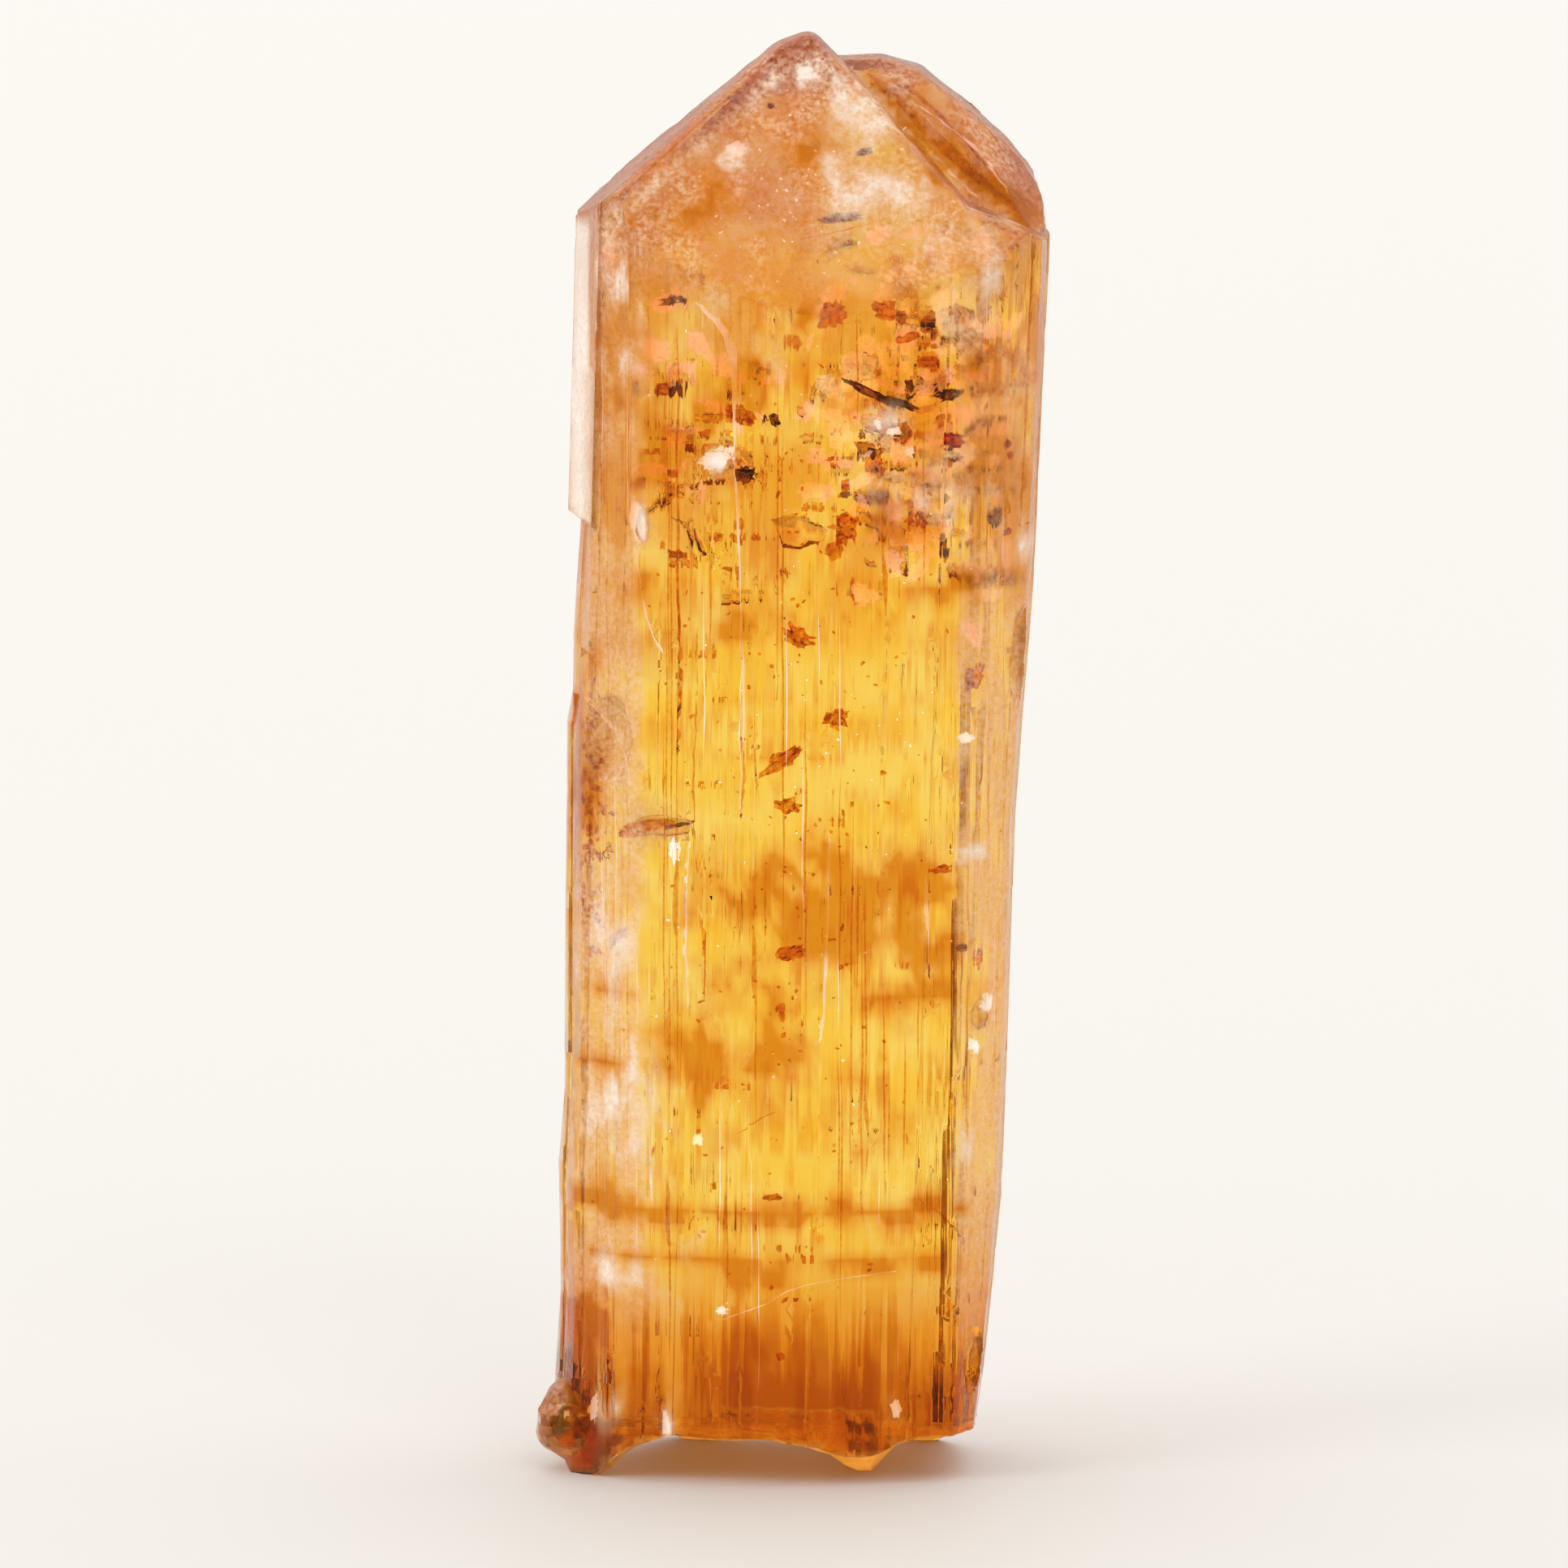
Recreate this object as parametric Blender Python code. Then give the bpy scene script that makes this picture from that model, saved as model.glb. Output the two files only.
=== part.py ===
"""An imperial topaz crystal: one striated prism with a pointed top and a broken base.

It stands upright on the four low points of its break. X runs across the broad front face,
-Y is the front and Z is up, in metres. Sizes below are in millimetres unless they say otherwise.
"""

import math
import random

import bmesh
import bpy
from mathutils import Matrix, Vector, noise

MM = 0.001
CRYSTAL = "crystal"
COLLECTION = "imperial_topaz_crystal"

# The prism's straight sides seen from the front, at the ground and at the top of the block
PRISM_LOW = -1.0
PRISM_HIGH = 38.0
LEFT_SIDE = (-5.80, -5.10)
RIGHT_SIDE = (5.15, 6.78)

# How far the worn edges stand outside those sides, as (height, distance outward)
LEFT_WEAR = (
    (-1.0, 0.10), (2.2, 0.20), (4.4, 0.10), (7.6, 0.20), (9.5, 0.06),
    (14.6, 0.13), (18.8, 0.15), (19.6, 0.02), (21.1, 0.02), (24.0, -0.12), (38.0, 0.06),
)
RIGHT_WEAR = (
    (-1.0, -0.68), (0.9, -0.54), (2.4, -0.38), (6.8, -0.14), (10.5, -0.13),
    (16.6, -0.20), (22.3, -0.02), (30.2, 0.02), (38.0, -0.05),
)
WEAR_REACH = 0.17

# Corners of the cross-section, anticlockwise from the left side's middle, and growth steps to the next
HALF_WIDTH = 5.6
CORNERS = (
    (-5.60, -0.10, 2), (-5.22, -1.75, 4), (-3.87, -3.02, 13), (0.30, -3.92, 13),
    (4.55, -3.05, 3), (5.40, -1.95, 4), (5.60, 0.15, 3), (5.10, 2.05, 4),
    (3.50, 3.25, 9), (-0.40, 3.92, 9), (-3.70, 3.05, 4), (-5.15, 1.75, 3),
)
STEP_STRIDES = (0.4, 1.6)
STEP_HEIGHT = 0.065
STEP_LOWEST = 0.25
STEP_RISER = 0.18
STEP_SEED = 11

# Slopes of the crystal's end faces, as rise over run
FRONT_DOME = math.tan(math.radians(61.0))
LEFT_DOME = 0.865
LEFT_CAP = 0.36
RIGHT_DOME = 1.08
SHOULDER = 0.415

# The main point: where its faces pass
FRONT_FACE_HEIGHT = 36.6
LEFT_CORNER = Vector((-5.30, 0.0, 31.56))
LEFT_CAP_START = Vector((-0.67, 0.0, 35.72))
RIGHT_RIDGE = Vector((1.64, 0.0, 35.0))
BACK_FACE = Vector((0.0, 0.6, 36.6))
SHOULDER_RIDGE = Vector((4.31, 0.0, 32.02))
SHOULDER_LEFT = Vector((3.6, 0.0, 32.3))
SHOULDER_LEFT_SLOPE = 1.6
SHOULDER_SETBACK = 0.12
POINT_ROUNDING = 0.3
ROUNDING_SEGMENTS = 3
END_FACE_LEVEL = 0.1

# The second point, grown beside the first at its back right: its crest seen from the front
LOBE_CREST = (
    (1.0, 35.30), (2.3, 35.36), (3.3, 35.06), (4.6, 34.00),
    (5.5, 33.22), (6.1, 32.50), (6.34, 31.90), (6.45, 30.9),
)
LOBE_LEFT_SLOPE = 0.9
LOBE_FRONT_EDGE = Vector((0.0, 1.7, 35.5))
LOBE_BROW = Vector((0.0, 0.7, 34.72))
LOBE_FRONT_SLOPE = 0.78
LOBE_FOOT_SLOPE = 2.1
LOBE_BACK_EDGE = Vector((0.0, 2.7, 35.5))
LOBE_BACK_SLOPE = 1.5
LOBE_CORNER = Vector((4.9, 0.35, 33.35))
LOBE_CORNER_FACING = Vector((0.62, -0.48, 0.62))
LOBE_ROUNDING = 0.13

# The flat layer that stands proud of the left side, seen from above, and its height range
LAYER_OUTLINE = ((-4.94, -2.02), (-4.2, -1.0), (-4.2, 1.4), (-5.0, 1.9), (-5.52, 1.2), (-5.57, 0.1))
LAYER_LOW = 24.1
LAYER_HIGH = 34.0
LAYER_BREAK_TILT = 0.3
LAYER_LEAN = 0.028

# The broken base: low points it stands on, each with its reach left, right and along the depth
BREAK_HEIGHT = 1.14
FEET = (
    (-5.05, -1.85, 2.1, 1.2, 1.25),
    (1.95, -0.70, 1.45, 0.70, 2.9),
    (-2.3, 2.9, 1.4, 1.5, 1.0),
    (3.5, 2.75, 1.2, 1.2, 1.1),
)
FOOT_DEPTH = 1.12
BREAK_CELL = 0.34
BREAK_ROUGHNESS = 0.085
BREAK_GRAIN = 1.3
GRAIN_SHARE = 1.4
RIPPLE_SHARE = 0.45
RIPPLE_PITCH = 2.6
RIPPLE_CENTRE = (-2.0, -7.0)
GRAIN_LAYERS = 3
BREAK_SPAN = (14.4, 10.8)

# The lump at the left foot and chips in the surface: centre, radii and a seed for their grain
LUMP = ((-5.48, -1.00, 1.22), (0.92, 1.25, 1.10), 3)
CHIPS = (
    ((-4.95, -2.75, 18.7), (0.95, 0.88, 1.35), 5),
    ((-3.55, -3.28, 16.6), (1.15, 0.34, 0.24), 8),
    ((-1.80, -3.68, 25.8), (0.42, 0.28, 0.30), 13),
    ((-3.70, -3.26, 24.1), (0.22, 0.36, 0.55), 17),
    ((4.86, -2.98, 11.8), (0.32, 0.38, 0.40), 21),
    ((5.78, -2.02, 20.6), (0.34, 0.52, 1.25), 25),
    ((4.78, -2.50, 2.9), (0.46, 0.60, 1.00), 29),
)
CHIP_ROUGHNESS = 0.16
CHIP_GRAIN = 1.7
CHIP_DETAIL = 3

CRYSTAL_COLOUR = (0.95, 0.46, 0.07, 1.0)
CRYSTAL_ROUGHNESS = 0.12

# The middle of the finished crystal's box, which becomes the origin
BOX_MIDDLE = Vector((0.0506, 0.0298, 0.0))

# Reach of the cutting blocks past the crystal, and the merge distance of a cut
FAR = 12.0
BELOW = -3.0
ABOVE = 42.0
HAIR = 1e-8


def clear_scene():
    """Remove what the file holds, so that only this model is in it."""
    for thing in list(bpy.data.objects):
        bpy.data.objects.remove(thing, do_unlink=True)


def make_collection(name):
    """A new collection in the scene."""
    collection = bpy.data.collections.new(name)
    bpy.context.scene.collection.children.link(collection)
    return collection


def crystal_material():
    """Warm orange stone with a soft shine."""
    material = bpy.data.materials.new("topaz")
    material.use_nodes = True
    shader = material.node_tree.nodes["Principled BSDF"]
    shader.inputs["Base Color"].default_value = CRYSTAL_COLOUR
    shader.inputs["Roughness"].default_value = CRYSTAL_ROUGHNESS
    shader.inputs["Metallic"].default_value = 0.0
    return material


def object_from(shape, name, collection):
    """Turn a bmesh in millimetres into an object in metres, about the origin."""
    bmesh.ops.triangulate(shape, faces=shape.faces[:])
    bmesh.ops.recalc_face_normals(shape, faces=shape.faces[:])
    bmesh.ops.translate(shape, verts=shape.verts[:], vec=-BOX_MIDDLE)
    bmesh.ops.scale(shape, vec=(MM, MM, MM), verts=shape.verts[:])
    mesh = bpy.data.meshes.new(name)
    shape.to_mesh(mesh)
    shape.free()
    made = bpy.data.objects.new(name, mesh)
    collection.objects.link(made)
    return made


def cutter_from(shape, name, collection):
    """A helper shape, which joins or cuts the crystal and isn't rendered."""
    helper = object_from(shape, name, collection)
    helper.hide_render = True
    helper.display_type = "WIRE"
    return helper


def combine(target, helper, operation):
    """Join, cut or intersect the target with a helper."""
    modifier = target.modifiers.new(helper.name, "BOOLEAN")
    modifier.operation = operation
    modifier.solver = "EXACT"
    modifier.object = helper


def read_edge(edge, height):
    """The edge's distance across at a height, straight between its points."""
    for (low, start), (high, end) in zip(edge, edge[1:]):
        if height <= high:
            return start + (end - start) * (height - low) / (high - low)
    return edge[-1][1]


def stepped_side(start, end, steps, chance):
    """Points from one corner to the next, with a small growth step at each uneven stride."""
    along = end - start
    outward = Vector((along.y, -along.x)).normalized()
    strides = [chance.uniform(*STEP_STRIDES) for _ in range(steps)]
    total = sum(strides)
    done = 0.0
    points = []
    for stride in strides:
        height = STEP_HEIGHT * chance.uniform(STEP_LOWEST, 1.0) * min(1.0, stride)
        riser = stride * STEP_RISER
        if chance.random() < 0.5:
            riser = stride - riser
        points.append(start + along * (done / total))
        points.append(start + along * ((done + riser) / total) + outward * height)
        done += stride
    return points


def prism_outline():
    """The striated cross-section at its nominal width, anticlockwise from above."""
    chance = random.Random(STEP_SEED)
    points = []
    following = CORNERS[1:] + CORNERS[:1]
    for (x, y, steps), (next_x, next_y, _) in zip(CORNERS, following):
        points += stepped_side(Vector((x, y)), Vector((next_x, next_y)), steps, chance)
    return points


def extruded(points, low, high):
    """An outline in the ground plane raised from one height to another."""
    shape = bmesh.new()
    ring = [shape.verts.new((x, y, low)) for x, y in points]
    floor = shape.faces.new(ring)
    raised = bmesh.ops.extrude_face_region(shape, geom=[floor])["geom"]
    top = [item for item in raised if isinstance(item, bmesh.types.BMVert)]
    bmesh.ops.translate(shape, verts=top, vec=(0.0, 0.0, high - low))
    return shape


def slice_at(shape, height):
    """Add a ring of edges at a height."""
    everything = shape.verts[:] + shape.edges[:] + shape.faces[:]
    bmesh.ops.bisect_plane(
        shape, geom=everything, plane_co=(0.0, 0.0, height), plane_no=(0.0, 0.0, 1.0), dist=HAIR
    )


def edge_weight(share):
    """How much of an edge's wear reaches a place, from 1 at the edge to 0 further in."""
    inside = min(1.0, share / WEAR_REACH)
    return (1.0 - inside) ** 2


def prism_shape():
    """The prism, longer than the crystal at both ends, leaning and widening upwards."""
    shape = extruded(prism_outline(), PRISM_LOW, PRISM_HIGH)
    for height in sorted({z for z, _ in LEFT_WEAR + RIGHT_WEAR} - {PRISM_LOW, PRISM_HIGH}):
        slice_at(shape, height)
    for vert in shape.verts:
        rise = (vert.co.z - PRISM_LOW) / (PRISM_HIGH - PRISM_LOW)
        left = LEFT_SIDE[0] + rise * (LEFT_SIDE[1] - LEFT_SIDE[0])
        right = RIGHT_SIDE[0] + rise * (RIGHT_SIDE[1] - RIGHT_SIDE[0])
        share = 0.5 + 0.5 * vert.co.x / HALF_WIDTH
        wear = read_edge(RIGHT_WEAR, vert.co.z) * edge_weight(1.0 - share)
        wear -= read_edge(LEFT_WEAR, vert.co.z) * edge_weight(share)
        vert.co.y *= 0.5 * (right - left) / HALF_WIDTH
        vert.co.x = left + share * (right - left) + wear
    return shape


def sloping(point, across=0.0, away=0.0):
    """A plane through the point that falls by these slopes to the right and to the back."""
    return point, Vector((across, away, 1.0)).normalized()


def end_block(planes, reach, rounding):
    """A tall block whose top is cut by planes, with its top edges rounded."""
    shape = bmesh.new()
    middle = Matrix.Translation((0.0, 0.0, 0.5 * (BELOW + ABOVE)))
    size = Matrix.Diagonal((2.0 * reach, 2.0 * reach, ABOVE - BELOW, 1.0))
    bmesh.ops.create_cube(shape, size=1.0, matrix=middle @ size)
    for point, normal in planes:
        everything = shape.verts[:] + shape.edges[:] + shape.faces[:]
        cut = bmesh.ops.bisect_plane(
            shape, geom=everything, plane_co=point, plane_no=normal, clear_outer=True, dist=HAIR
        )
        rim = [item for item in cut["geom_cut"] if isinstance(item, bmesh.types.BMEdge)]
        bmesh.ops.edgenet_fill(shape, edges=rim)
    bmesh.ops.recalc_face_normals(shape, faces=shape.faces[:])
    shape.normal_update()
    ridges = [
        edge for edge in shape.edges if all(face.normal.z > END_FACE_LEVEL for face in edge.link_faces)
    ]
    bmesh.ops.bevel(
        shape,
        geom=ridges,
        offset=rounding,
        segments=ROUNDING_SEGMENTS,
        profile=0.5,
        affect="EDGES",
        clamp_overlap=True,
    )
    return shape


def main_point():
    """The pointed end that faces the viewer."""
    front = Vector((0.0, 0.0, FRONT_FACE_HEIGHT))
    planes = (
        sloping(front, away=-FRONT_DOME),
        sloping(LEFT_CORNER, across=-LEFT_DOME),
        sloping(LEFT_CAP_START, across=-LEFT_CAP),
        sloping(RIGHT_RIDGE, across=RIGHT_DOME),
        sloping(BACK_FACE, away=FRONT_DOME),
    )
    return end_block(planes, FAR, POINT_ROUNDING)


def shoulder():
    """The low step at the right end of the front face."""
    front = Vector((0.0, SHOULDER_SETBACK, FRONT_FACE_HEIGHT))
    planes = (
        sloping(front, away=-FRONT_DOME),
        sloping(SHOULDER_RIDGE, across=SHOULDER),
        sloping(SHOULDER_LEFT, across=-SHOULDER_LEFT_SLOPE),
    )
    return end_block(planes, FAR - 1.0, POINT_ROUNDING)


def second_point():
    """The rounded end behind and to the right, which leaves a valley beside the first."""
    planes = [
        sloping(Vector((LOBE_CREST[0][0], 0.0, LOBE_CREST[0][1])), across=-LOBE_LEFT_SLOPE),
        sloping(LOBE_FRONT_EDGE, away=-LOBE_FRONT_SLOPE),
        sloping(LOBE_BROW, away=-LOBE_FOOT_SLOPE),
        sloping(LOBE_BACK_EDGE, away=LOBE_BACK_SLOPE),
        (LOBE_CORNER, LOBE_CORNER_FACING.normalized()),
    ]
    for (x, z), (next_x, next_z) in zip(LOBE_CREST, LOBE_CREST[1:]):
        fall = (z - next_z) / (next_x - x)
        planes.append(sloping(Vector((x, 0.0, z)), across=fall))
    return end_block(planes, FAR - 2.0, LOBE_ROUNDING)


def proud_layer():
    """The flat layer on the left side, which ends below in a slanting break."""
    shape = extruded(LAYER_OUTLINE, LAYER_LOW, LAYER_HIGH)
    outermost = min(x for x, _ in LAYER_OUTLINE)
    for vert in shape.verts:
        if vert.co.z > 0.5 * (LAYER_LOW + LAYER_HIGH):
            vert.co.x += LAYER_LEAN * (LAYER_HIGH - LAYER_LOW)
        else:
            vert.co.z -= LAYER_BREAK_TILT * (vert.co.x - outermost)
    return shape


def break_height(x, y):
    """Height of the broken base: a hollow arch that comes down to the ground at each foot."""
    height = BREAK_HEIGHT
    for foot_x, foot_y, left, right, deep in FEET:
        across = (x - foot_x) / (left if x < foot_x else right)
        along = (y - foot_y) / deep
        height *= 1.0 - FOOT_DEPTH * math.exp(-across * across - along * along)
    grain = noise.fractal(Vector((x, y, 0.0)) / BREAK_GRAIN, 1.0, 2.0, GRAIN_LAYERS)
    ripple = math.sin(RIPPLE_PITCH * math.dist((x, y), RIPPLE_CENTRE))
    roughness = min(1.0, max(0.0, height))
    return max(0.0, height + roughness * BREAK_ROUGHNESS * (GRAIN_SHARE * grain + RIPPLE_SHARE * ripple))


def break_shape():
    """Everything under the broken base."""
    shape = bmesh.new()
    length, depth = BREAK_SPAN
    bmesh.ops.create_grid(
        shape,
        x_segments=round(length / BREAK_CELL),
        y_segments=round(depth / BREAK_CELL),
        size=0.5,
        matrix=Matrix.Diagonal((length, depth, 1.0, 1.0)),
    )
    sheet = bmesh.ops.extrude_face_region(shape, geom=shape.faces[:])["geom"]
    raised = {item for item in sheet if isinstance(item, bmesh.types.BMVert)}
    for vert in shape.verts:
        if vert in raised:
            vert.co.z = break_height(vert.co.x, vert.co.y)
        else:
            vert.co.z = BELOW
    return shape


def rough_ball(centre, radii, seed):
    """A ball with uneven radii and a grainy surface."""
    shape = bmesh.new()
    bmesh.ops.create_icosphere(shape, subdivisions=CHIP_DETAIL, radius=1.0)
    shift = Vector((seed, 2.0 * seed, 3.0 * seed))
    for vert in shape.verts:
        swell = 1.0 + CHIP_ROUGHNESS * noise.fractal(vert.co * CHIP_GRAIN + shift, 1.0, 2.0, GRAIN_LAYERS)
        vert.co = Vector([part * radius * swell for part, radius in zip(vert.co, radii)])
        vert.co += Vector(centre)
    return shape


def build_end(helpers):
    """The crystal's two points and its shoulder, joined in one block."""
    end = cutter_from(main_point(), "main_point", helpers)
    combine(end, cutter_from(shoulder(), "shoulder", helpers), "UNION")
    combine(end, cutter_from(second_point(), "second_point", helpers), "UNION")
    return end


def build_crystal():
    """The whole crystal in one object."""
    parts = make_collection(COLLECTION)
    helpers = make_collection("cutters")
    crystal = object_from(prism_shape(), CRYSTAL, parts)
    crystal.data.materials.append(crystal_material())
    combine(crystal, cutter_from(proud_layer(), "proud_layer", helpers), "UNION")
    combine(crystal, build_end(helpers), "INTERSECT")
    combine(crystal, cutter_from(rough_ball(*LUMP), "lump", helpers), "UNION")
    combine(crystal, cutter_from(break_shape(), "break", helpers), "DIFFERENCE")
    for number, chip in enumerate(CHIPS, 1):
        combine(crystal, cutter_from(rough_ball(*chip), f"chip_{number}", helpers), "DIFFERENCE")


clear_scene()
build_crystal()
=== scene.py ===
"""Looks of the imperial topaz crystal: its etched surface, what lies inside it, and the studio."""

import math
import random

import bmesh
import bpy
import numpy as np
from mathutils import Matrix, Vector, bvhtree, noise


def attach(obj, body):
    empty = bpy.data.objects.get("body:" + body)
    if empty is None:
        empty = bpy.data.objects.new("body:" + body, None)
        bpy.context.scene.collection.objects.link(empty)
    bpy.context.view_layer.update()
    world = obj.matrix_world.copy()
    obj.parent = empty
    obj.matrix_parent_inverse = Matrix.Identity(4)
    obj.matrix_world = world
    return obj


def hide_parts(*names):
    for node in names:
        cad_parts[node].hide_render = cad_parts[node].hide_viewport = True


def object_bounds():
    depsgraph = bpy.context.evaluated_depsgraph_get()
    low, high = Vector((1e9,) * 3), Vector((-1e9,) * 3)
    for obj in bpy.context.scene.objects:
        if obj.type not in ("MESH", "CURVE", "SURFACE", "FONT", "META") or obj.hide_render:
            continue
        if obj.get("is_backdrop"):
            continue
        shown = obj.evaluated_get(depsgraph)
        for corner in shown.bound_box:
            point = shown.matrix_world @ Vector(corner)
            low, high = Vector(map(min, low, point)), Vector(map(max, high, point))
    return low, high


MM = 0.001

# The camera, as in the photo: a long lens a little above the crystal, in metres. The sensor is in millimetres
CAMERA_ELEVATION = math.radians(8.0)
CAMERA_DISTANCE = 0.36
CAMERA_AIM = Vector((-0.00019, 0.0, 0.0172))
CAMERA_CLIP = (0.01, 10.0)
FRAME_HEIGHT = 0.0393
SENSOR = 36.0

# The studio, in metres and watts: each light's name, place, aim, size, power and colour
FLOOR_COLOUR = (0.78, 0.77, 0.75)
FLOOR_ROUGHNESS = 0.6
FLOOR_SIZE = 40.0
SKY_COLOUR = (1.0, 0.97, 0.93, 1.0)
SKY_STRENGTH = 0.72
LIGHTS = (
    ("overhead", (0.0, 0.9, 1.1), (0.0, 0.9, 0.0), (3.0, 2.0), 15.5, (1.0, 0.99, 0.97)),
    ("key", (-1.3, -0.7, 0.9), (0.0, 0.0, 0.02), (0.8, 0.8), 6.5, (1.0, 0.98, 0.95)),
    ("front", (0.5, -1.2, 1.3), (0.0, 0.0, 0.03), (0.6, 0.6), 2.4, (1.0, 0.98, 0.95)),
)
STONE_BOUNCES = 8
PLAIN_BOUNCES = 3

# From here on lengths are in millimetres. The surface is cut at even steps up and across, and above END_LOW
# also through its depth
TOP = 36.1
HALF_WIDTH = 6.4
HALF_DEPTH = 4.0
ROW_STEP = 0.3
COLUMN_STEP = 0.22
END_LOW = 28.0
FLAT_ANGLE = math.radians(0.5)
SHARP_ANGLE = math.radians(20.0)

# How deep growth lines, broad waves, pits and the end faces' hills sink, and how high above the feet they fade in
LINE_DEPTH = 0.035
WAVE_DEPTH = 0.030
PIT_DEPTH = 0.05
HILL_DEPTH = 0.06
FOOT_FADE = 0.3

# How far under the skin the things inside stay. Near an edge a place is moved more than once
SKIN = 0.10
SKIN_PASSES = 3

# Topaz as a see-through stone
TOPAZ_IOR = 1.62
SHEEN_LEVEL = 0.16
SHEEN_TINT = (0.25, 0.20, 0.12, 1.0)
VOID_IOR = 1.0 / 1.3
ABSORPTION_DENSITY = 320.0
ABSORPTION_COLOUR = (0.998, 0.850, 0.12, 1.0)
BUMP_STRENGTH = 0.22
BUMP_DEPTH = 0.06

# How matt and how milky each painted mask makes the surface
POLISH = 0.04
MATT = {"frost": 0.30, "pale": 0.28, "rough": 0.35}
MILK = {"frost": 0.42, "pale": 0.42, "rough": 0.15}
WHITE_MILK = 0.62
LINE_SHARE = 0.65
PITTED_SHARE = 0.7

# Tints of the surface
CLEAR = (1.0, 0.99, 0.95, 1.0)
GOLD = (1.0, 0.84, 0.36, 1.0)
LINE = (0.90, 0.42, 0.07, 1.0)
STAIN_AND_SHADE = (0.80, 0.27, 0.01, 1.0)
UMBER = (0.44, 0.09, 0.003, 1.0)
PEACH = (1.0, 0.74, 0.56, 1.0)
WHITE = (1.0, 0.90, 0.82, 1.0)
PINK = (0.80, 0.30, 0.20, 1.0)
BLUSH = (1.0, 0.72, 0.56, 1.0)
BREAK_DARK = (0.78, 0.34, 0.09, 1.0)
BREAK_PALE = (1.0, 0.78, 0.56, 1.0)

# Stained patches seen from the front: distance across, height, half width, half height, strength
STAINS = (
    (1.1, 14.4, 2.5, 1.5, 0.98), (2.7, 15.2, 1.3, 1.0, 0.85), (-1.3, 10.7, 2.0, 0.7, 0.90),
    (-3.0, 26.8, 1.3, 1.8, 0.62), (3.3, 26.5, 1.9, 1.8, 0.50), (-2.6, 12.6, 1.2, 0.9, 0.52),
    (2.7, 12.4, 1.6, 0.40, 0.80), (-0.6, 12.3, 0.9, 0.6, 0.55), (-2.4, 9.1, 1.0, 0.7, 0.55),
    (-3.6, 25.6, 1.1, 0.8, 0.85), (-1.6, 21.7, 1.0, 0.45, 0.62), (-2.1, 26.9, 1.0, 0.7, 0.70),
    (-1.0, 27.5, 0.8, 0.7, 0.75), (2.8, 24.2, 1.3, 0.9, 0.75), (0.3, 29.4, 0.9, 0.5, 0.60),
    (0.5, 33.3, 0.9, 0.5, 0.55), (-2.6, 32.2, 1.3, 0.8, 0.50), (-5.0, 3.9, 0.8, 0.7, 0.95),
    (-1.0, 2.2, 1.4, 1.5, 0.95), (3.5, 1.9, 1.2, 1.0, 0.75), (-5.2, 17.5, 0.4, 2.4, 0.85),
    (3.2, 28.0, 1.6, 1.0, 0.60), (-4.4, 12.4, 0.8, 0.22, 0.75), (-4.4, 13.6, 0.4, 0.2, 0.7),
    (-4.8, 7.0, 0.8, 0.4, 0.85), (-4.2, 22.6, 0.8, 0.5, 0.55), (3.4, 22.6, 1.3, 0.5, 0.60),
    (-0.6, 5.4, 1.4, 0.5, 0.75), (2.2, 8.9, 0.9, 0.6, 0.50), (-4.9, 10.6, 0.5, 0.2, 0.7),
)
# Pale patches, the same way: partly painted reflections of the soft light on the narrow side faces
PALES_AND_REFLECTIONS = (
    (-4.4, 30.0, 0.7, 0.75, 0.95), (-3.9, 27.9, 0.6, 0.5, 0.50), (-0.9, 28.8, 0.7, 0.5, 0.6),
    (4.2, 31.0, 1.0, 0.7, 0.70), (0.5, 35.2, 0.5, 0.30, 0.90), (1.5, 34.6, 0.5, 0.3, 0.80),
    (-1.4, 33.2, 0.3, 0.2, 0.95), (5.8, 23.5, 0.25, 0.5, 0.90), (4.2, 8.3, 0.3, 0.5, 0.65),
    (-4.3, 5.0, 0.8, 0.6, 0.90), (5.2, 27.5, 0.9, 2.2, 0.55), (1.8, 34.0, 0.7, 0.6, 0.90),
    (1.9, 32.2, 1.2, 0.6, 0.95), (3.6, 24.8, 1.6, 1.0, 0.85), (4.6, 29.6, 1.0, 1.3, 0.80),
    (-4.5, 13.3, 0.6, 1.2, 0.95), (-4.4, 9.2, 0.8, 1.4, 0.95), (2.2, 26.9, 0.8, 0.6, 0.70),
)
# Whitish patches, the same way: partly whitish cloud, partly painted highlights where chips, breaks and side
# faces catch the light
WHITES_AND_HIGHLIGHTS = (
    (1.8, 34.1, 0.60, 0.55, 0.58), (1.2, 33.0, 0.70, 0.35, 0.45), (2.4, 32.3, 0.90, 0.45, 0.60),
    (-1.84, 25.8, 0.30, 0.22, 1.00), (-3.77, 24.2, 0.14, 0.42, 0.90), (4.81, 12.0, 0.14, 0.22, 0.90),
    (0.4, 35.2, 0.55, 0.28, 0.80), (-4.4, 30.0, 0.50, 0.60, 0.70), (-1.5, 33.2, 0.40, 0.30, 0.50),
    (-4.5, 13.2, 0.45, 1.00, 0.60), (-4.3, 9.3, 0.70, 1.30, 0.65), (-4.3, 5.1, 0.70, 0.55, 0.65),
    (-4.85, 1.9, 0.16, 0.50, 0.60), (-4.4, 1.8, 0.14, 0.40, 0.50), (-3.05, 1.3, 0.14, 0.45, 0.80),
    (5.8, 23.4, 0.25, 0.45, 0.80), (4.25, 8.3, 0.18, 0.45, 0.60), (-4.1, 28.2, 0.35, 0.40, 0.50),
    (2.4, 26.8, 0.40, 0.35, 0.55), (4.9, 30.2, 0.45, 0.60, 0.45), (2.5, 2.0, 0.16, 0.30, 0.55),
    (3.6, 24.6, 0.90, 0.50, 0.40), (-2.9, 5.6, 0.50, 0.60, 0.35), (4.7, 15.9, 0.50, 0.20, 0.75),
)
# How soft a patch's edge is, and how far clouds break up a painted mask
PATCH_SOFTNESS = 0.7
TORN_SWING = 0.8
TORN_FLOOR = 0.22
TORN_EDGE = 0.02
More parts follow.
